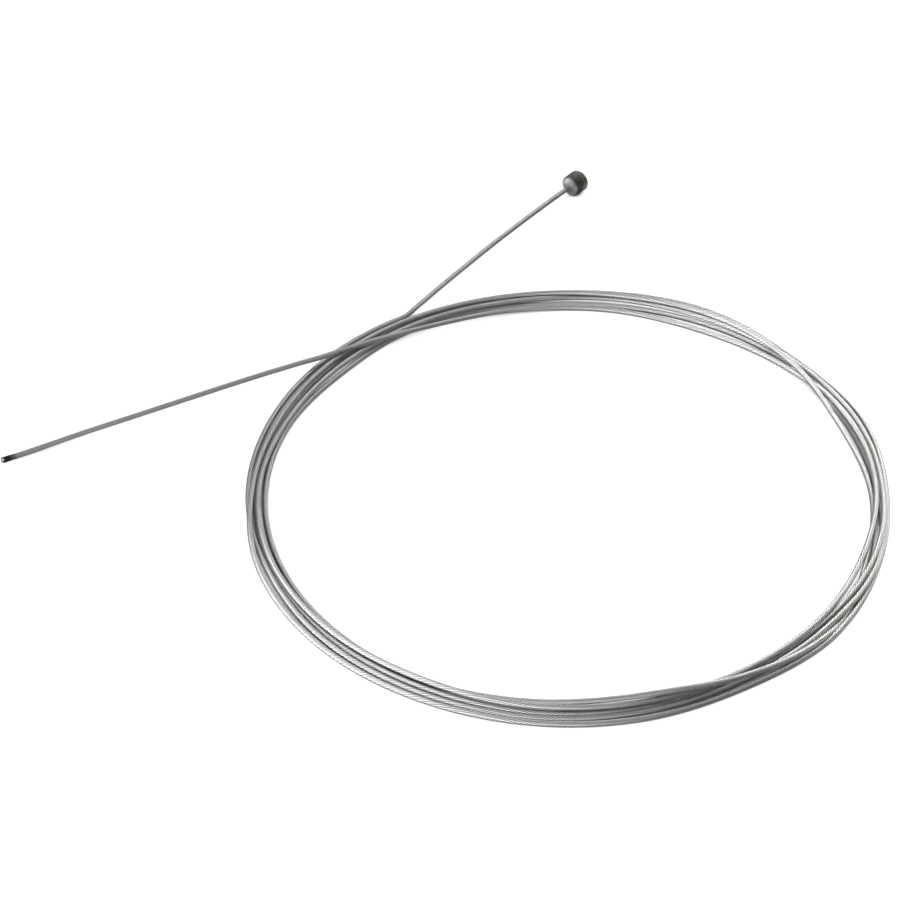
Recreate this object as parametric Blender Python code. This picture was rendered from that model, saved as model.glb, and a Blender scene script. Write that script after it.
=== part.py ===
"""Bicycle shift cable: a coiled steel strand with a cast head and a fused tip.

Run it with: blender --background --python part.py
Metres, +Z up. The cable lies on the plane z = 0. The turns of the coil are one
closed ring here, of the outer shape that the turns fill.
"""
import math

import bmesh
import bpy
from mathutils import Matrix, Vector

# The wire.
WIRE_DIAMETER = 0.0011
TOUCH_GAP = 0.0003              # between the faces of pieces that meet

# The coil, five turns lying beside and on each other.
COIL_CENTRE = Vector((0.02379, -0.02068, 0.0))
COIL_RADIUS = 0.0606            # from the centre to the middle of the turns
COIL_WIDTH = 0.0072
COIL_HEIGHT = 0.0032
COIL_EDGE_RADIUS = 0.0010
COIL_SEGMENTS = 96
COIL_EDGE_STEPS = 3

# The head, a short cast cylinder on the wire's own axis.
HEAD_DIAMETER = 0.0050
HEAD_LENGTH = 0.0042
HEAD_CHAMFER = 0.00025          # round the face that the wire leaves
HEAD_END_RADIUS = 0.0010        # round the far end
HEAD_END_STEPS = 5
HEAD_SEGMENTS = 48
NECK_LENGTH = 0.0005            # metal drawn out along the wire
NECK_ROOT_RADIUS = 0.00085
NECK_TIP_RADIUS = WIRE_DIAMETER / 2
HEAD_FACE = Vector((0.02839, 0.08047, HEAD_DIAMETER / 2))
HEAD_HEADING = math.radians(50.1)

# The tip, where the wires are melted together.
TIP_DIAMETER = 0.00115
TIP_LENGTH = 0.0022
TIP_END_STEPS = 4
TIP_SEGMENTS = 24

# The wire's way from the head down to the coil.
HEAD_TAIL_ROUTE = [
    (0.02788, 0.07986, 0.00250),
    (0.02639, 0.07817, 0.00248),
    (0.02274, 0.07397, 0.00233),
    (0.01908, 0.06970, 0.00214),
    (0.01539, 0.06532, 0.00195),
    (0.01175, 0.06093, 0.00177),
    (0.00834, 0.05667, 0.00160),
    (0.00503, 0.05238, 0.00146),
    (0.00184, 0.04822, 0.00133),
    (-0.00131, 0.04404, 0.00122),
    (-0.00431, 0.03989, 0.00112),
    (-0.00646, 0.03702, 0.00106),
]
HEAD_TAIL_POINTS = 22

# The wire's way from the top of the coil out to the tip.
FREE_TAIL_ROUTE = [
    (-0.03002, 0.01634, 0.00266),
    (-0.03225, 0.01530, 0.00260),
    (-0.03626, 0.01347, 0.00249),
    (-0.04229, 0.01062, 0.00230),
    (-0.04822, 0.00772, 0.00210),
    (-0.05394, 0.00496, 0.00188),
    (-0.05998, 0.00203, 0.00163),
    (-0.06559, -0.00065, 0.00138),
    (-0.07145, -0.00343, 0.00112),
    (-0.07705, -0.00625, 0.00087),
    (-0.08206, -0.00883, 0.00067),
    (-0.08565, -0.01067, 0.00061),
]
FREE_TAIL_POINTS = 26

# Colour, metallic value and roughness of each material.
MATERIALS = {
    "strand_steel": ((0.62, 0.63, 0.62), 1.0, 0.35),
    "head_metal": ((0.33, 0.33, 0.32), 1.0, 0.42),
    "fused_steel": ((0.07, 0.06, 0.06), 1.0, 0.45),
}


def clear_scene():
    for obj in list(bpy.data.objects):
        bpy.data.objects.remove(obj, do_unlink=True)


def make_material(name):
    colour, metallic, roughness = MATERIALS[name]
    material = bpy.data.materials.new(name)
    material.use_nodes = True
    shader = material.node_tree.nodes["Principled BSDF"]
    shader.inputs["Base Color"].default_value = (*colour, 1.0)
    shader.inputs["Metallic"].default_value = metallic
    shader.inputs["Roughness"].default_value = roughness
    return material


def link(obj, material):
    obj.data.materials.append(material)
    bpy.context.scene.collection.objects.link(obj)
    return obj


def mesh_object(name, bm, material):
    bmesh.ops.recalc_face_normals(bm, faces=bm.faces)
    mesh = bpy.data.meshes.new(name)
    bm.to_mesh(mesh)
    bm.free()
    return link(bpy.data.objects.new(name, mesh), material)


def turned_solid(name, outline, segments, material):
    """Turn an outline of (along, radius) about X; its ends lie on the axis."""
    bm = bmesh.new()
    start = bm.verts.new((outline[0][0], 0.0, 0.0))
    end = bm.verts.new((outline[-1][0], 0.0, 0.0))
    rings = []
    for along, radius in outline[1:-1]:
        ring = []
        for step in range(segments):
            angle = 2 * math.pi * step / segments
            ring.append(bm.verts.new((along, radius * math.cos(angle), radius * math.sin(angle))))
        rings.append(ring)
    for step in range(segments):
        after = (step + 1) % segments
        bm.faces.new((start, rings[0][step], rings[0][after]))
        bm.faces.new((end, rings[-1][after], rings[-1][step]))
        for low, high in zip(rings, rings[1:]):
            bm.faces.new((low[step], high[step], high[after], low[after]))
    return mesh_object(name, bm, material)


def rounded_end(along, radius, edge, steps):
    """Points of a quarter circle that ends a turned outline at `along`."""
    points = []
    for step in range(steps + 1):
        angle = math.pi / 2 * step / steps
        points.append((along - edge + edge * math.sin(angle), radius - edge + edge * math.cos(angle)))
    return points


def make_head(material):
    radius = HEAD_DIAMETER / 2
    outline = [(-NECK_LENGTH, 0.0), (-NECK_LENGTH, NECK_TIP_RADIUS), (0.0, NECK_ROOT_RADIUS)]
    outline += [(0.0, radius - HEAD_CHAMFER), (HEAD_CHAMFER, radius)]
    outline += rounded_end(HEAD_LENGTH, radius, HEAD_END_RADIUS, HEAD_END_STEPS)
    outline.append((HEAD_LENGTH, 0.0))
    head = turned_solid("cable_head", outline, HEAD_SEGMENTS, material)
    head.matrix_world = Matrix.Translation(HEAD_FACE) @ Matrix.Rotation(HEAD_HEADING, 4, "Z")
    return head


def make_tip(material):
    """The tip goes on from the end of the free tail, in the same direction."""
    last = Vector(FREE_TAIL_ROUTE[-1])
    heading = (last - Vector(FREE_TAIL_ROUTE[-2])).normalized()
    radius = TIP_DIAMETER / 2
    outline = [(0.0, 0.0), (0.0, radius)]
    outline += rounded_end(TIP_LENGTH, radius, radius * 0.75, TIP_END_STEPS)
    outline.append((TIP_LENGTH, 0.0))
    tip = turned_solid("fused_tip", outline, TIP_SEGMENTS, material)
    turn = heading.to_track_quat("X", "Z").to_matrix().to_4x4()
    tip.matrix_world = Matrix.Translation(last + heading * TOUCH_GAP) @ turn
    return tip


def coil_outline():
    """Section of the coil as (radius, height), once round with rounded edges."""
    points = []
    corners = [(1, 1, 0.0), (-1, 1, 90.0), (-1, -1, 180.0), (1, -1, 270.0)]
    for out, up, start in corners:
        middle = COIL_RADIUS + out * (COIL_WIDTH / 2 - COIL_EDGE_RADIUS)
        height = COIL_HEIGHT / 2 + up * (COIL_HEIGHT / 2 - COIL_EDGE_RADIUS)
        for step in range(COIL_EDGE_STEPS + 1):
            angle = math.radians(start + 90.0 * step / COIL_EDGE_STEPS)
            points.append((middle + COIL_EDGE_RADIUS * math.cos(angle), height + COIL_EDGE_RADIUS * math.sin(angle)))
    return points


def make_coil(material):
    bm = bmesh.new()
    section = coil_outline()
    rings = []
    for step in range(COIL_SEGMENTS):
        angle = 2 * math.pi * step / COIL_SEGMENTS
        outward = Vector((math.cos(angle), math.sin(angle), 0.0))
        rings.append([bm.verts.new(outward * radius + Vector((0, 0, height))) for radius, height in section])
    for step, ring in enumerate(rings):
        after = rings[(step + 1) % COIL_SEGMENTS]
        for index in range(len(section)):
            beside = (index + 1) % len(section)
            bm.faces.new((ring[index], after[index], after[beside], ring[beside]))
    coil = mesh_object("coil", bm, material)
    coil.location = COIL_CENTRE
    return coil


def smooth_route(points, count):
    """Read `count` evenly spaced points from a smooth curve through the route."""
    knots = [Vector(point) for point in points]
    knots = [2 * knots[0] - knots[1]] + knots + [2 * knots[-1] - knots[-2]]
    dense = []
    for before, start, end, after in zip(knots, knots[1:], knots[2:], knots[3:]):
        for step in range(16):
            u = step / 16
            dense.append(0.5 * (2 * start + (end - before) * u
                                + (2 * before - 5 * start + 4 * end - after) * u ** 2
                                + (3 * start - before - 3 * end + after) * u ** 3))
    dense.append(knots[-2])
    travelled = [0.0]
    for start, end in zip(dense, dense[1:]):
        travelled.append(travelled[-1] + (end - start).length)
    route = []
    index = 0
    for step in range(count):
        distance = travelled[-1] * step / (count - 1)
        while index < len(dense) - 2 and travelled[index + 1] < distance:
            index += 1
        part = (distance - travelled[index]) / (travelled[index + 1] - travelled[index])
        route.append(dense[index].lerp(dense[index + 1], part))
    return route


def make_tube(name, points, count, material):
    route = smooth_route(points, count)
    curve = bpy.data.curves.new(name, "CURVE")
    curve.dimensions = "3D"
    curve.bevel_depth = WIRE_DIAMETER / 2
    curve.bevel_resolution = 2
    curve.use_fill_caps = True
    spline = curve.splines.new("POLY")
    spline.points.add(len(route) - 1)
    for knot, place in zip(spline.points, route):
        knot.co = (*place, 1.0)
    return link(bpy.data.objects.new(name, curve), material)


def main():
    clear_scene()
    steel = make_material("strand_steel")
    make_head(make_material("head_metal"))
    make_tube("head_tail", HEAD_TAIL_ROUTE, HEAD_TAIL_POINTS, steel)
    make_coil(steel)
    make_tube("free_tail", FREE_TAIL_ROUTE, FREE_TAIL_POINTS, steel)
    make_tip(make_material("fused_steel"))


main()
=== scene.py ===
"""The looks of the coiled shift cable: a bright stranded steel wire, its cast head
and its fused tip, on a plain white floor. Metres, in the frame of the CAD model.
"""
import math

import bpy
import numpy as np
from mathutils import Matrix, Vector


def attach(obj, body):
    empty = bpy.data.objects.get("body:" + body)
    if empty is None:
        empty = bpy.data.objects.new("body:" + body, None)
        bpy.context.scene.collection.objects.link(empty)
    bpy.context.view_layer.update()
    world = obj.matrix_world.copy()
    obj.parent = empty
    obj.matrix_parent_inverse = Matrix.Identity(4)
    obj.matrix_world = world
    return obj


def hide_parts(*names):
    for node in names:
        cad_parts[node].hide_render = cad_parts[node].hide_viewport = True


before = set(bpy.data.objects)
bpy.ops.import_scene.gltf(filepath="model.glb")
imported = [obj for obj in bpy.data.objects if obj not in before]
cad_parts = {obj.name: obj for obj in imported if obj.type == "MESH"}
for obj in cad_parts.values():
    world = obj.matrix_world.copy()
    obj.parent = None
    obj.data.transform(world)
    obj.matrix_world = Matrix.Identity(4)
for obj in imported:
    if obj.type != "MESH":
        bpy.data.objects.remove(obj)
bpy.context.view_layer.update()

MM = 0.001

# The wire, its head and its tip, as in the CAD model.
WIRE_DIAMETER = 1.1 * MM
COIL_CENTRE = (0.02379, -0.02068)
COIL_RADIUS = 60.6 * MM
HEAD_LENGTH = 4.2 * MM
HEAD_DIAMETER = 5.0 * MM
HEAD_FACE = Vector((0.02839, 0.08047, 0.0025))
HEAD_HEADING = math.radians(50.1)
HEAD_AXIS = Vector((math.cos(HEAD_HEADING), math.sin(HEAD_HEADING), 0.0))
TIP_DIAMETER = 1.15 * MM
TIP_LENGTH = 2.2 * MM
TIP_GAP = 0.3 * MM

# The strand: a layer of drawn wires laid round the ones inside.
OUTER_WIRES = 8
GROOVE_DEPTH = 0.09 * MM
LAY_LENGTH = 7.6 * MM
RING_STEP = 0.5 * MM            # from one ring of the strand's mesh to the next
HEAD_SINK = 0.2 * MM            # how far the strand starts in front of the head's face
TIP_SINK = 0.35 * MM            # how far it ends inside the melted drop

# The strand's steel, in duller and brighter patches. Its grooves are darkened, partly by grime and
# partly as painted shade between the wires, and near the tip the heat has tinted it.
STEEL_PATCHES = 900.0
STEEL_SHADES = [(0.35, (0.60, 0.60, 0.60)), (0.65, (0.64, 0.64, 0.64))]
STEEL_ROUGHNESS = (0.33, 0.39)
STEEL_EDGE_TINT = (0.3, 0.3, 0.3, 1.0)      # the darker light it throws back where seen edge-on
GROOVE_GRIME_AND_SHADE = [(0.15, (0.35, 0.35, 0.35)), (0.55, (1.0, 1.0, 1.0))]
HEAT_REACH = 0.9 * MM
HEAT_TINTS = [(0.0, (0.24, 0.20, 0.21)), (0.5, (0.46, 0.42, 0.44)), (1.0, (1.0, 1.0, 1.0))]

# The head's flared neck: how far from its face along the axis, and from the axis, in millimetres.
HEAD_NECK = [(-1.6, 0.58), (-1.2, 0.67), (-0.85, 0.83), (-0.55, 1.06), (-0.3, 1.35), (-0.08, 1.65)]
HEAD_DOME_RISE = 0.12 * MM
HEAD_FRONT_EDGE = 0.75 * MM
HEAD_BACK_EDGE = 0.9 * MM
HEAD_BACK_CENTRE = 0.3 * MM
HEAD_MARKS_START = 1.9 * MM
HEAD_MARK_SPACING = 0.42 * MM
HEAD_MARK_DEPTH = 0.12 * MM
HEAD_WALL_STEPS = 40
HEAD_SEGMENTS = 96

# The head's dull metal.
HEAD_METALLIC = 0.6
HEAD_ROUGHNESS = (0.62, 0.42)
HEAD_GRAIN = 2600.0
HEAD_GRAIN_STRENGTH = 0.25
HEAD_STAINS = 550.0
HEAD_STAIN_SHADES = [(0.35, (0.55, 0.55, 0.55)), (0.5, (0.85, 0.85, 0.85)), (0.65, (1.1, 1.1, 1.1))]
# Its painted light and shade, from the neck, a set start before the face (0), to its back (1): a lit
# face, a shaded wall, and light and dark bands that stand in for the shading of its fine rings.
HEAD_PAINTED_SHADING_START = 0.5 * MM
HEAD_PAINTED_SHADING = [(0.0, (0.24, 0.23, 0.23)), (0.07, (0.42, 0.40, 0.40)), (0.125, (0.52, 0.50, 0.50)),
               (0.15, (0.19, 0.18, 0.18)), (0.2, (0.10, 0.095, 0.095)), (0.32, (0.14, 0.13, 0.13)),
               (0.43, (0.08, 0.076, 0.07)), (0.52, (0.20, 0.19, 0.165)), (0.58, (0.09, 0.085, 0.075)),
               (0.66, (0.24, 0.225, 0.195)), (0.73, (0.11, 0.105, 0.09)), (0.8, (0.23, 0.215, 0.185)),
               (0.88, (0.15, 0.14, 0.12)), (1.0, (0.19, 0.18, 0.155))]
# Painted shade on its front edge and painted floor light low on its wall: where each is, seen from the
# middle of its face, how far it reaches at full strength and at none, and the metal's shade there.
HEAD_PAINTED_EDGE_SHADE = (Vector((1.23, -1.03, 1.6)) * MM, 0.5 * MM, 1.6 * MM, 0.3)
HEAD_PAINTED_FLOOR_LIGHT = (Vector((3.47, 0.88, -1.3)) * MM, 0.9 * MM, 2.2 * MM, 3.4)

# The melted drop at the tip: its start, as places along and across in millimetres, then its
# slightly uneven body, as places along in millimetres and shares of its radius.
TIP_OVERHANG = 0.2 * MM         # how far the drop stands out past the CAD model's end
TIP_REACH = TIP_LENGTH + TIP_OVERHANG
TIP_START = [(0.0, 0.44), (0.12, 0.52)]
TIP_BODY = [(0.4, 0.98), (0.8, 1.0), (1.2, 0.97), (1.6, 1.0)]
TIP_NOSE = 0.42 * MM
TIP_END_FLAT = 0.08 * MM
TIP_LUMPS = 0.02
TIP_SEGMENTS = 48

# Its burnt scale, from its end (0) back to the strand (1), and the nipped spot: partly bare metal, partly
# a painted glint.
TIP_ROUGHNESS = 0.5
TIP_SPECULAR = 0.2
TIP_SCALE_GRAIN = 4000.0
TIP_SCALE_STRENGTH = 0.4
TIP_SHADES = [(0.1, (0.03, 0.027, 0.027)), (0.65, (0.006, 0.005, 0.005)), (0.8, (0.05, 0.038, 0.04)),
              (1.0, (0.09, 0.07, 0.075))]
TIP_SPOT = Vector((0.45, -0.19, 0.33)) * MM     # seen from the middle of the end
TIP_SPOT_CORE = 0.16 * MM
TIP_SPOT_RIM = 0.36 * MM
TIP_SPOT_GLINT_COLOUR = (0.50, 0.51, 0.49, 1.0)

BUMP_DEPTH = 0.05 * MM

# The wire's way from the head down to the coil.
HEAD_TAIL_ROUTE = [
    (0.02788, 0.07986, 0.00250),
    (0.02639, 0.07817, 0.00248),
    (0.02274, 0.07397, 0.00233),
    (0.01908, 0.06970, 0.00214),
    (0.01539, 0.06532, 0.00195),
    (0.01175, 0.06093, 0.00177),
    (0.00834, 0.05667, 0.00160),
    (0.00503, 0.05238, 0.00146),
    (0.00184, 0.04822, 0.00133),
    (-0.00131, 0.04404, 0.00122),
    (-0.00431, 0.03989, 0.00112),
    (-0.00646, 0.03702, 0.00106),
]

# The wire's way from the top of the coil out to the tip.
FREE_TAIL_ROUTE = [
    (-0.03002, 0.01634, 0.00266),
    (-0.03225, 0.01530, 0.00260),
    (-0.03626, 0.01347, 0.00249),
    (-0.04229, 0.01062, 0.00230),
    (-0.04822, 0.00772, 0.00210),
    (-0.05394, 0.00496, 0.00188),
    (-0.05998, 0.00203, 0.00163),
    (-0.06559, -0.00065, 0.00138),
    (-0.07145, -0.00343, 0.00112),
    (-0.07705, -0.00625, 0.00087),
    (-0.08206, -0.00883, 0.00067),
    (-0.08565, -0.01067, 0.00061),
]

# The coil's turns, after the lines that can be followed in the photo: how far each turn lies out (+)
# or in (-) of the coil's radius, in millimetres, at every LANE_STEP degrees from TURN_START.
TURN_START = 120.0
LANE_STEP = 20.0
TURN_LANES = [
    [3.6, 2.9, 2.1, 1.6, 0.9, 0.8, 0.2, -0.3, -1.1,
     -1.6, -0.6, 1.1, 0.0, 0.3, 1.6, 1.0, -0.2, -0.8],
    [-0.9, -2.6, -2.0, -1.8, -1.9, -2.2, -2.6, -3.4, -3.5,
     -1.4, 0.5, -1.1, -1.1, -1.7, 0.7, 2.3, 1.7, 1.3],
    [1.0, 0.5, 0.1, 0.7, 2.3, 2.2, 1.5, 0.9, 0.4,
     -0.2, 1.2, 1.2, 2.0, 3.9, 3.5, 5.4, 4.1, 2.3],
    [1.2, 0.3, -0.2, -0.1, 0.0, -0.4, -1.2, -1.5, -2.3,
     -2.7, -2.1, 0.2, 1.0, 2.1, 1.7, 2.0, 1.7, -0.5],
    [-1.1, -1.7, -1.6, -0.6, -0.4, -1.2, -2.1, -2.2, -2.5,
     -2.9, -2.5, -2.0, -0.2, 0.6, -0.2, -1.5, -1.7, -2.8],
]
# The last turn's way out over the others: (degrees, lane).
WAY_OUT = [(480, -3.2), (490, -1.8), (500, 1.6), (502.5, 2.8)]
# Where one turn lies on the others out of its order: (turn, from, to, rank).
OUT_OF_ORDER = [
    (0, 321, 356, 3.5),
    (1, 275, 321, 6.0),
    (1, 388, 480, 6.0),
    (2, 120, 180, 3.2),
    (3, 120, 322, 0.5),
    (4, 465, 510, 7.0),
]
TAIL_RISE = 2.62 * MM           # height of the wire where it leaves over the coil
STATIONS_PER_TURN = 144         # where the turns are weighed against each other

# How the turns come to rest on each other. In the last rounds nothing sinks any more.
SETTLE_ROUNDS = 800
LAST_ROUNDS = 100
TURN_SPACING = WIRE_DIAMETER + 0.02 * MM
CROSSING_REACH = 0.95 * WIRE_DIAMETER       # turns nearer than this lie on each other, not side by side
SWAPPED_SHARE = 0.25            # of the height needed; below it the wrong turn is on top
LIFT_LIMIT = 0.05 * MM
SINK = 0.002 * MM
SIDE_SHARE = 0.5                # of each push, so that turns rise more than they part
LEAST_APART = 0.001 * MM
HEIGHT_EASE = 0.35
LANE_EASE = 0.5
LAST_LANE_EASE = 0.2

# The wire's line: steps of the curve between two points, and how it is evened out.
CURVE_STEPS = 8
LINE_STEP = 0.4 * MM
SMOOTHING_ROUNDS = 12

# The camera, as the picture was taken.
CAMERA_PLACE = Vector((0.00097, -0.35298, 0.30040))
CAMERA_TILT = math.radians(48.96)
CAMERA_LENS = 91.6
SENSOR_WIDTH = 36.0
CAMERA_CLIP = 0.01

# The far lights, square boxes that face the origin:
# (name, azimuth, elevation, size, watts, colour).
SOFT_BOX_DISTANCE = 0.9
NEUTRAL = (1.0, 1.0, 1.0)
WARM = (1.0, 0.99, 0.955)
COOL = (0.95, 1.0, 0.99)
SOFT_BOXES = [
    ("low_left_back_box", 130, 9, 0.3, 0.32, WARM),
    ("low_left_box", 180, 12, 0.5, 6.76, NEUTRAL),
    ("low_left_side_box", 205, 12, 0.5, 1.48, NEUTRAL),
    ("low_left_front_box", 228, 12, 0.5, 2.84, NEUTRAL),
    ("back_box", 90, 32, 0.5, 0.76, NEUTRAL),
    ("left_front_box", 247, 32, 0.5, 2.2, COOL),
    ("high_back_box", 90, 56, 0.6, 1.52, NEUTRAL),
    ("high_left_back_box", 135, 56, 0.6, 0.24, WARM),
    ("high_left_box", 180, 56, 0.6, 0.8, NEUTRAL),
    ("high_left_front_box", 225, 56, 0.6, 1.68, NEUTRAL),
    ("high_front_box", 270, 56, 0.6, 0.28, COOL),
    ("top_box", 0, 90, 0.6, 0.28, NEUTRAL),
]
# The near lights at the right, warm and with a narrower beam: (name, place, target, size, watts).
SIDE_BEAM = math.radians(80.0)
SIDE_BOXES = [
    ("side_box", (0.20, 0.02, 0.10), (0.08, -0.04, 0.0), 0.08, 0.021),
    ("side_back_box", (0.15, 0.15, 0.12), (0.08, -0.03, 0.0), 0.08, 0.044),
    ("side_front_box", (0.19, -0.10, 0.08), (0.08, -0.03, 0.0), 0.06, 0.0064),
]
WORLD_STRENGTH = 0.0

# The floor, and the glow that keeps it white for the camera wherever it is open to the sky.
FLOOR_SIZE = 4.0
FLOOR_COLOUR = (0.4, 0.4, 0.4, 1.0)
FLOOR_ROUGHNESS = 0.9
FLOOR_GLOW = 0.8
SKY_REACH = 4.0 * MM
SKY_SAMPLES = 8
SKY_SHARES = (0.2, 0.38)        # of the sky seen: no glow up to the first, full glow from the second


def make_camera():
    data = bpy.data.cameras.new("camera")
    data.lens = CAMERA_LENS
    data.sensor_width = SENSOR_WIDTH
    data.clip_start = CAMERA_CLIP
    camera = bpy.data.objects.new("camera", data)
    camera.location = CAMERA_PLACE
    camera.rotation_euler = (CAMERA_TILT, 0.0, 0.0)
    bpy.context.scene.collection.objects.link(camera)
    bpy.context.scene.camera = camera


def spline_through(points, count):
    """Points of a Catmull-Rom curve, count to each span."""
    p = np.array(points, float)
    p = np.vstack([2 * p[0] - p[1], p, 2 * p[-1] - p[-2]])
    t = np.linspace(0, 1, count, endpoint=False)[:, None]
    spans = []
    for a, b, c, d in zip(p, p[1:], p[2:], p[3:]):
        spans.append(0.5 * (2 * b + (c - a) * t + (2 * a - 5 * b + 4 * c - d) * t**2
                            + (3 * b - a - 3 * c + d) * t**3))
    return np.vstack(spans + [p[-2:-1]])


def evenly_spaced(points, step):
    """The same line with its points one step apart."""
    along = np.concatenate([[0.0], np.cumsum(np.linalg.norm(np.diff(points, axis=0), axis=1))])
    count = int(round(along[-1] / step)) + 1
    where = np.linspace(0.0, along[-1], count)
    return np.stack([np.interp(where, along, axis) for axis in points.T], -1)


def all_lanes():
    """Angle and radius of every station, along the turns one after another."""
    lanes = [lane for turn in TURN_LANES for lane in turn]
    knots = [(TURN_START + LANE_STEP * n, lane * MM) for n, lane in enumerate(lanes)]
    knots += [(angle + 360 * (len(TURN_LANES) - 1), lane * MM) for angle, lane in WAY_OUT]
    last = knots[-1][0]
    angles = np.arange(TURN_START, last + 0.01, 360 / STATIONS_PER_TURN)
    x, y = np.array(knots).T
    slope = np.gradient(y, x)
    span = np.clip(np.searchsorted(x, angles, side="right") - 1, 0, len(x) - 2)
    width = x[span + 1] - x[span]
    t = (angles - x[span]) / width
    lane = ((2 * t**3 - 3 * t**2 + 1) * y[span] + (t**3 - 2 * t**2 + t) * width * slope[span]
            + (3 * t**2 - 2 * t**3) * y[span + 1] + (t**3 - t**2) * width * slope[span + 1])
    return angles, COIL_RADIUS + lane


def all_ranks(angles):
    """Which turn lies on which: the higher rank is on top."""
    turn = np.minimum((angles - TURN_START) // 360, len(TURN_LANES) - 1)
    rank = turn + 1.0
    for number, start, end, value in OUT_OF_ORDER:
        here = (turn == number) & (angles - 360 * number >= start) & (angles - 360 * number <= end)
        rank[here] = value
    return rank


def turn_pairs(count):
    """Stations of one turn and those of the turns that pass it at the same angle."""
    for later in range(STATIONS_PER_TURN, count, STATIONS_PER_TURN):
        first = np.arange(count - later)
        yield first, first + later


def first_heights(radius, rank):
    """Drop the turns one by one, lowest rank first, each onto those below it."""
    height = np.full(len(radius), WIRE_DIAMETER / 2)
    for station in range(STATIONS_PER_TURN):
        here = range(station, len(radius), STATIONS_PER_TURN)
        laid = []
        for i in sorted(here, key=lambda k: rank[k]):
            for j in laid:
                aside = abs(radius[i] - radius[j])
                if aside < WIRE_DIAMETER:
                    height[i] = max(height[i], height[j] + math.sqrt(WIRE_DIAMETER**2 - aside**2))
            laid.append(i)
    return height


def eased(values, amount):
    """Each value drawn a little towards its neighbours along the wire."""
    result = values.copy()
    result[1:-1] += amount * (0.5 * (values[:-2] + values[2:]) - values[1:-1])
    return result


def settle(lane, rank):
    """Let the turns come to rest beside and on each other, a diameter apart."""
    radius = lane.copy()
    height = first_heights(radius, rank)
    for step in range(SETTLE_ROUNDS):
        for i, j in turn_pairs(len(radius)):
            aside = radius[j] - radius[i]
            above = height[j] - height[i]
            order = np.sign(rank[j] - rank[i])
            needed = np.sqrt(np.maximum(TURN_SPACING**2 - aside**2, 0.0))
            swapped = (np.abs(aside) < CROSSING_REACH) & (order * above < SWAPPED_SHARE * needed)
            lift = order * np.where(swapped, np.minimum((needed - order * above) / 2, LIFT_LIMIT), 0.0)
            height[j] += lift
            height[i] -= lift
            height = np.maximum(height, WIRE_DIAMETER / 2)
            above = height[j] - height[i]
            apart = np.maximum(np.hypot(aside, above), LEAST_APART)
            push = np.where((apart < TURN_SPACING) & ~swapped, (TURN_SPACING - apart) / 2, 0.0)
            radius[j] += SIDE_SHARE * push * aside / apart
            radius[i] -= SIDE_SHARE * push * aside / apart
            height[j] += push * above / apart
            height[i] -= push * above / apart
        height = eased(height, HEIGHT_EASE)
        settling = step < SETTLE_ROUNDS - LAST_ROUNDS
        if settling:
            height -= SINK
        lane_ease = LANE_EASE if settling else LAST_LANE_EASE
        radius += lane_ease * (lane - radius)
        radius = lane + eased(radius - lane, lane_ease)
        height = np.maximum(height, WIRE_DIAMETER / 2)
        height[-2:] = TAIL_RISE
    return radius, height


def coil_points():
    angles, lane = all_lanes()
    radius, height = settle(lane, all_ranks(angles))
    around = np.radians(angles)
    return np.stack([COIL_CENTRE[0] + radius * np.cos(around),
                     COIL_CENTRE[1] + radius * np.sin(around), height], -1)


def tip_axis():
    return (Vector(FREE_TAIL_ROUTE[-1]) - Vector(FREE_TAIL_ROUTE[-2])).normalized()


def wire_centreline():
    """The whole wire, from inside the head's neck to inside the tip."""
    start = HEAD_FACE - HEAD_AXIS * HEAD_SINK
    end = Vector(FREE_TAIL_ROUTE[-1]) + tip_axis() * (TIP_GAP + TIP_SINK)
    route = np.vstack([[tuple(start)], HEAD_TAIL_ROUTE, coil_points(), FREE_TAIL_ROUTE, [tuple(end)]])
    line = evenly_spaced(spline_through(route, CURVE_STEPS), LINE_STEP)
    for _ in range(SMOOTHING_ROUNDS):
        line[1:-1] = 0.5 * line[1:-1] + 0.25 * (line[:-2] + line[2:])
    return evenly_spaced(line, RING_STEP)


def strand_section():
    """Distance and angle of the points round the strand: a groove, then two on a wire's back."""
    step = 2 * math.pi / OUTER_WIRES
    points = []
    for k in range(OUTER_WIRES):
        points.append((WIRE_DIAMETER / 2 - GROOVE_DEPTH, k * step))
        points.append((WIRE_DIAMETER / 2, (k + 1 / 3) * step))
        points.append((WIRE_DIAMETER / 2, (k + 2 / 3) * step))
    return np.array(points)


def directions_across(line):
    """Two directions across the wire at each point, without any roll."""
    ahead = np.gradient(line, axis=0)
    ahead /= np.linalg.norm(ahead, axis=1)[:, None]
    side = np.cross(ahead, (0.0, 0.0, 1.0))
    side /= np.linalg.norm(side, axis=1)[:, None]
    return side, np.cross(side, ahead)


def mesh_object(name, verts, faces, material):
    mesh = bpy.data.meshes.new(name)
    mesh.from_pydata(verts, [], faces)
    mesh.materials.append(material)
    mesh.update()
    mesh.shade_smooth()
    obj = bpy.data.objects.new(name, mesh)
    bpy.context.scene.collection.objects.link(obj)
    return obj


def skin(rings):
    """Points and faces of a closed tube through rings of equal count."""
    count = len(rings[0])
    faces = []
    for i in range(len(rings) - 1):
        low, high = i * count, (i + 1) * count
        for k in range(count):
            n = (k + 1) % count
            faces.append((low + k, low + n, high + n, high + k))
    faces.append(tuple(range(count - 1, -1, -1)))
    faces.append(tuple(range((len(rings) - 1) * count, len(rings) * count)))
    return np.reshape(rings, (-1, 3)).tolist(), faces


def crease_grooves(mesh, count, step):
    """Sharp edges along every groove between two outer wires."""
    ends = np.empty(2 * len(mesh.edges), dtype=np.int32)
    mesh.edges.foreach_get("vertices", ends)
    first, second = ends.reshape(-1, 2).T
    along = (np.abs(first - second) == count) & (first % count % step == 0)
    mesh.attributes.new("sharp_edge", "BOOLEAN", "EDGE").data.foreach_set("value", along)


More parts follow.
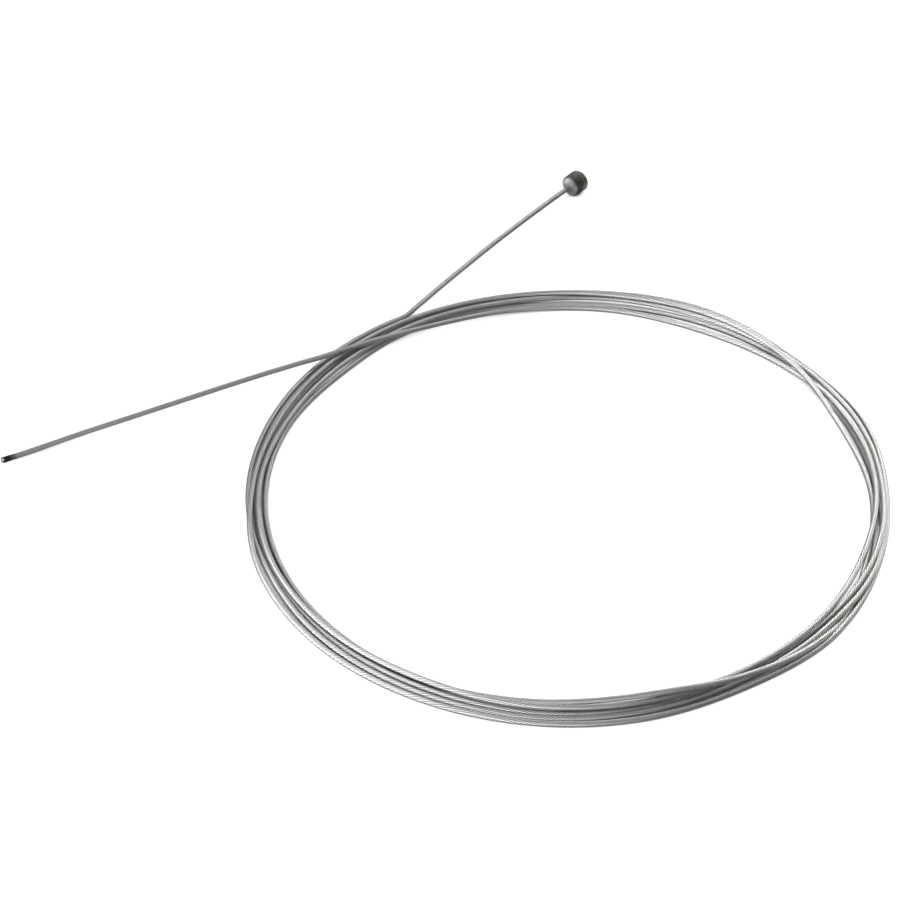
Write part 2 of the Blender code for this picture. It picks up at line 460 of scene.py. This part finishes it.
def make_strand(line, material):
    """The strand's section, drawn along the line and turned as the wires wind round it."""
    section = strand_section()
    side, up = directions_across(line)
    twist = 2 * math.pi * np.arange(len(line)) * RING_STEP / LAY_LENGTH
    angle = section[None, :, 1] + twist[:, None]
    reach = section[None, :, 0, None]
    rings = line[:, None] + reach * (np.cos(angle)[..., None] * side[:, None]
                                     + np.sin(angle)[..., None] * up[:, None])
    obj = mesh_object("shift_wire", *skin(rings), material)
    crease_grooves(obj.data, len(section), len(section) // OUTER_WIRES)
    backs = np.tile([0.0, 1.0, 1.0], OUTER_WIRES * len(line)).astype(np.float32)
    obj.data.attributes.new("outer_wire_back", "FLOAT", "POINT").data.foreach_set("value", backs)
    return obj


def turned(name, outline, base, axis, segments, material, lumps=0.0):
    """Turn an outline of (along, radius) about an axis that starts at base, a little unevenly."""
    side = axis.cross(Vector((0.0, 0.0, 1.0))).normalized()
    up = side.cross(axis)
    rings = []
    for n, (along, radius) in enumerate(outline):
        ring = []
        for k in range(segments):
            a = 2 * math.pi * k / segments
            wobble = 1 + lumps * (math.sin(2 * a + 0.9 * n) + 0.6 * math.sin(3 * a - 0.7 * n + 1.0))
            ring.append(base + axis * along + (side * math.cos(a) + up * math.sin(a)) * radius * wobble)
        rings.append(ring)
    return mesh_object(name, *skin([[tuple(p) for p in ring] for ring in rings]), material)


def rounded_edge(centre_along, centre_radius, size, start, end, steps):
    """An arc of an outline; angles are measured from the outward direction."""
    points = []
    for n in range(steps + 1):
        a = math.radians(start + (end - start) * n / steps)
        points.append((centre_along + size * math.sin(a), centre_radius + size * math.cos(a)))
    return points


def head_wall(start, end, radius):
    """The outline between the head's rounded edges, with the fine rings round its back half."""
    points = []
    for n in range(1, HEAD_WALL_STEPS):
        along = start + (end - start) * n / HEAD_WALL_STEPS
        phase = 2 * math.pi * (along - HEAD_MARKS_START) / HEAD_MARK_SPACING
        mark = (0.5 - 0.5 * math.cos(phase)) ** 2 if along > HEAD_MARKS_START else 0.0
        points.append((along, radius - HEAD_MARK_DEPTH * mark))
    return points


def head_outline():
    radius = HEAD_DIAMETER / 2
    flat = radius - HEAD_FRONT_EDGE
    front = HEAD_DOME_RISE + HEAD_FRONT_EDGE
    back = HEAD_LENGTH - HEAD_BACK_EDGE
    outline = [(along * MM, out * MM) for along, out in HEAD_NECK]
    outline.append((HEAD_DOME_RISE, flat))
    outline += rounded_edge(front, flat, HEAD_FRONT_EDGE, start=-82, end=0, steps=10)
    outline += head_wall(front, back, radius)
    outline += rounded_edge(back, radius - HEAD_BACK_EDGE, HEAD_BACK_EDGE, start=0, end=86, steps=12)
    outline.append((HEAD_LENGTH, HEAD_BACK_CENTRE))
    return outline


def tip_outline():
    radius = TIP_DIAMETER / 2
    nose = TIP_REACH - TIP_NOSE
    outline = [(along * MM, out * MM) for along, out in TIP_START]
    outline += [(along * MM, share * radius) for along, share in TIP_BODY]
    outline.append((nose, radius))
    outline += rounded_edge(nose, radius - TIP_NOSE, TIP_NOSE, start=8, end=80, steps=9)
    outline.append((TIP_REACH, TIP_END_FLAT))
    return outline


class Nodes:
    """A new material's nodes, with short ways to add and join them."""

    def __init__(self, name):
        self.material = bpy.data.materials.new(name)
        self.material.use_nodes = True
        self.tree = self.material.node_tree
        self.shader = self.tree.nodes["Principled BSDF"]

    def add(self, kind, **values):
        node = self.tree.nodes.new("ShaderNode" + kind)
        for key, value in values.items():
            setattr(node, key, value)
        return node

    def join(self, source, target):
        self.tree.links.new(source, target)

    def set(self, name, value):
        self.shader.inputs[name].default_value = value

    def feed(self, source, name):
        self.join(source, self.shader.inputs[name])

    def place(self):
        return self.add("TexCoord").outputs["Object"]

    def noise(self, place, scale, detail=2.0):
        node = self.add("TexNoise")
        node.inputs["Scale"].default_value = scale
        node.inputs["Detail"].default_value = detail
        self.join(place, node.inputs["Vector"])
        return node.outputs["Fac"]

    def distance(self, place, point):
        node = self.add("VectorMath", operation="DISTANCE")
        self.join(place, node.inputs[0])
        node.inputs[1].default_value = tuple(point)
        return node.outputs["Value"]

    def along(self, place, axis):
        node = self.add("VectorMath", operation="DOT_PRODUCT")
        self.join(place, node.inputs[0])
        node.inputs[1].default_value = tuple(axis)
        return node.outputs["Value"]

    def rescaled(self, value, start, end, low=0.0, high=1.0):
        """The value's way from start to end, laid over low to high, and held beyond."""
        node = self.add("MapRange")
        for name, number in (("From Min", start), ("From Max", end), ("To Min", low), ("To Max", high)):
            node.inputs[name].default_value = number
        self.join(value, node.inputs["Value"])
        return node.outputs["Result"]

    def shades(self, value, stops):
        """Colours between the stops, each a place and a colour."""
        node = self.add("ValToRGB")
        elements = node.color_ramp.elements
        while len(elements) < len(stops):
            elements.new(0.5)
        for element, (place, colour) in zip(elements, stops):
            element.position = place
            element.color = (*colour, 1.0)
        self.join(value, node.inputs["Fac"])
        return node.outputs["Color"]

    def multiplied(self, first, second):
        node = self.add("Mix", data_type="RGBA", blend_type="MULTIPLY")
        node.inputs["Factor"].default_value = 1.0
        self.join(first, node.inputs[6])
        self.join(second, node.inputs[7])
        return node.outputs[2]

    def bump(self, height, strength):
        node = self.add("Bump")
        node.inputs["Strength"].default_value = strength
        node.inputs["Distance"].default_value = BUMP_DEPTH
        self.join(height, node.inputs["Height"])
        self.feed(node.outputs["Normal"], "Normal")


def strand_material(tip_end):
    """Drawn steel, a little duller in patches, darker in its grooves from grime and painted shade, tinted
    by heat near the tip.
    """
    nodes = Nodes("strand_steel")
    nodes.set("Metallic", 1.0)
    nodes.set("Specular Tint", STEEL_EDGE_TINT)
    place = nodes.place()
    patches = nodes.noise(place, STEEL_PATCHES, detail=4.0)
    steel = nodes.shades(patches, STEEL_SHADES)
    backs = nodes.add("Attribute", attribute_name="outer_wire_back")
    # The grooves darkened: partly grime, partly painted shade between the outer wires.
    grimy_and_shaded = nodes.multiplied(steel, nodes.shades(backs.outputs["Fac"], GROOVE_GRIME_AND_SHADE))
    from_heat = nodes.rescaled(nodes.distance(place, tip_end), TIP_REACH, TIP_REACH + HEAT_REACH)
    nodes.feed(nodes.multiplied(grimy_and_shaded, nodes.shades(from_heat, HEAT_TINTS)), "Base Color")
    nodes.feed(nodes.rescaled(patches, 0.0, 1.0, *STEEL_ROUGHNESS), "Roughness")
    return nodes.material


def head_material():
    """Dull cast metal with a few stains, and painted light and shade: a lit face, a shaded wall banded
    like its rings' shading, painted shade on the front edge and painted floor light low on the wall.
    """
    nodes = Nodes("head_metal")
    nodes.set("Metallic", HEAD_METALLIC)
    place = nodes.place()
    face = HEAD_FACE.dot(HEAD_AXIS)
    along = nodes.rescaled(nodes.along(place, HEAD_AXIS), face - HEAD_PAINTED_SHADING_START, face + HEAD_LENGTH)
    stains = nodes.noise(place, HEAD_STAINS, detail=3.0)
    # Painted light and shade along the axis, times the random stains.
    metal = nodes.multiplied(nodes.shades(along, HEAD_PAINTED_SHADING), nodes.shades(stains, HEAD_STAIN_SHADES))
    # The painted edge shade and the painted floor light, each scaling the metal's colour.
    for middle, core, rim, shade in (HEAD_PAINTED_EDGE_SHADE, HEAD_PAINTED_FLOOR_LIGHT):
        patch = nodes.rescaled(nodes.distance(place, HEAD_FACE + middle), core, rim, shade, 1.0)
        metal = nodes.multiplied(metal, patch)
    nodes.feed(metal, "Base Color")
    nodes.feed(nodes.rescaled(stains, 0.0, 1.0, *HEAD_ROUGHNESS), "Roughness")
    nodes.bump(nodes.noise(place, HEAD_GRAIN), HEAD_GRAIN_STRENGTH)
    return nodes.material


def tip_material(tip_end):
    """Burnt black scale, brown towards the wires, with a light spot where the end was nipped: partly bare
    metal, partly a painted glint.
    """
    nodes = Nodes("fused_steel")
    nodes.set("Roughness", TIP_ROUGHNESS)
    nodes.set("Specular IOR Level", TIP_SPECULAR)
    place = nodes.place()
    burnt = nodes.shades(nodes.rescaled(nodes.distance(place, tip_end), 0.0, TIP_REACH), TIP_SHADES)
    # The nipped spot, lightened partly as bare metal and partly as a painted glint.
    bare_spot_and_glint = nodes.rescaled(nodes.distance(place, tip_end + TIP_SPOT), TIP_SPOT_RIM, TIP_SPOT_CORE)
    colour = nodes.add("Mix", data_type="RGBA")
    nodes.join(bare_spot_and_glint, colour.inputs["Factor"])
    nodes.join(burnt, colour.inputs[6])
    colour.inputs[7].default_value = TIP_SPOT_GLINT_COLOUR
    nodes.feed(colour.outputs[2], "Base Color")
    nodes.bump(nodes.noise(place, TIP_SCALE_GRAIN), TIP_SCALE_STRENGTH)
    return nodes.material


def floor_material():
    """Plain white: where it is open to the sky it glows for the camera, so no far shadow greys it."""
    nodes = Nodes("floor_white")
    nodes.set("Base Color", FLOOR_COLOUR)
    nodes.set("Roughness", FLOOR_ROUGHNESS)
    nodes.set("Emission Color", (1.0, 1.0, 1.0, 1.0))
    open_sky = nodes.add("AmbientOcclusion", samples=SKY_SAMPLES)
    open_sky.inputs["Distance"].default_value = SKY_REACH
    shown = nodes.add("Math", operation="MULTIPLY")
    nodes.join(nodes.rescaled(open_sky.outputs["AO"], *SKY_SHARES, 0.0, FLOOR_GLOW), shown.inputs[0])
    nodes.join(nodes.add("LightPath").outputs["Is Camera Ray"], shown.inputs[1])
    nodes.feed(shown.outputs["Value"], "Emission Strength")
    return nodes.material


def make_floor():
    bpy.ops.mesh.primitive_plane_add(size=FLOOR_SIZE, location=(0.0, 0.0, 0.0))
    floor = bpy.context.object
    floor.name = "floor"
    floor.data.materials.append(floor_material())


def area_light(name, place, target, size, power, colour, beam=math.pi):
    data = bpy.data.lights.new(name, "AREA")
    data.shape = "SQUARE"
    data.size = size
    data.energy = power
    data.color = colour
    data.spread = beam
    light = bpy.data.objects.new(name, data)
    light.location = place
    light.rotation_euler = (Vector(target) - Vector(place)).to_track_quat("-Z", "Y").to_euler()
    light.visible_camera = False
    bpy.context.scene.collection.objects.link(light)


def make_world():
    world = bpy.data.worlds.new("studio")
    world.use_nodes = True
    background = world.node_tree.nodes["Background"]
    background.inputs["Color"].default_value = (1.0, 1.0, 1.0, 1.0)
    background.inputs["Strength"].default_value = WORLD_STRENGTH
    bpy.context.scene.world = world
    bpy.context.scene.view_settings.view_transform = "Standard"


def make_lights():
    for name, azimuth, elevation, size, power, colour in SOFT_BOXES:
        turn, rise = math.radians(azimuth), math.radians(elevation)
        place = Vector((math.cos(rise) * math.cos(turn), math.cos(rise) * math.sin(turn), math.sin(rise)))
        area_light(name, place * SOFT_BOX_DISTANCE, (0.0, 0.0, 0.0), size, power, colour)
    for name, place, target, size, power in SIDE_BOXES:
        area_light(name, place, target, size, power, WARM, SIDE_BEAM)


make_camera()
tip_base = Vector(FREE_TAIL_ROUTE[-1]) + tip_axis() * TIP_GAP
tip_end = tip_base + tip_axis() * TIP_REACH
centreline = wire_centreline()
wire = make_strand(centreline, strand_material(tip_end))
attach(wire, "root")
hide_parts("head_tail", "coil", "free_tail")

head = turned("cast_head", head_outline(), HEAD_FACE, HEAD_AXIS, HEAD_SEGMENTS, head_material())
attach(head, "root")
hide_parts("cable_head")

tip = turned("melted_tip", tip_outline(), tip_base, tip_axis(), TIP_SEGMENTS, tip_material(tip_end),
             TIP_LUMPS)
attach(tip, "root")
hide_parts("fused_tip")

make_floor()
make_world()
make_lights()
